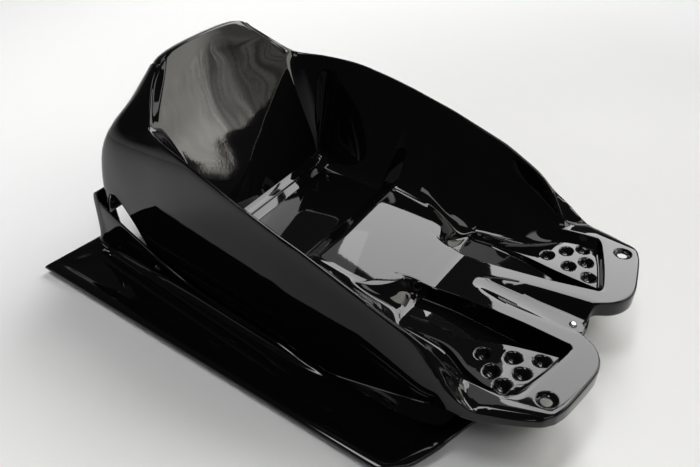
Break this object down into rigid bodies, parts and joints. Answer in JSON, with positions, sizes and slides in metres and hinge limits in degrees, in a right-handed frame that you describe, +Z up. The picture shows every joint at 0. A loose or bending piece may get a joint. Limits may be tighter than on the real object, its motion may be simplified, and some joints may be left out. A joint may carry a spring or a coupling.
{
  "type": "baby sled",
  "caption": "Moulded snow sled with a high-backed bucket seat, two foot wells with rope holes, on a wide base with side wings.",
  "frame": {"origin": "on the snow under the middle of the sled", "axes": "+X to the rider's left, +Y to the back of the sled, +Z up"},
  "size_m": [0.581, 0.7873, 0.3211],
  "materials": {
    "shell_plastic": "high gloss black",
    "base_plastic": "gloss black",
    "rivet_metal": "bright domed blind rivet"
  },
  "bodies": {
    "root": {"seat_shell": "shell_plastic", "base_pan": "base_plastic", "nose_rivet": "rivet_metal", "left_side_rivet": "rivet_metal", "right_side_rivet": "rivet_metal", "left_rear_rivet": "rivet_metal", "right_rear_rivet": "rivet_metal"}
  },
  "joints": []
}
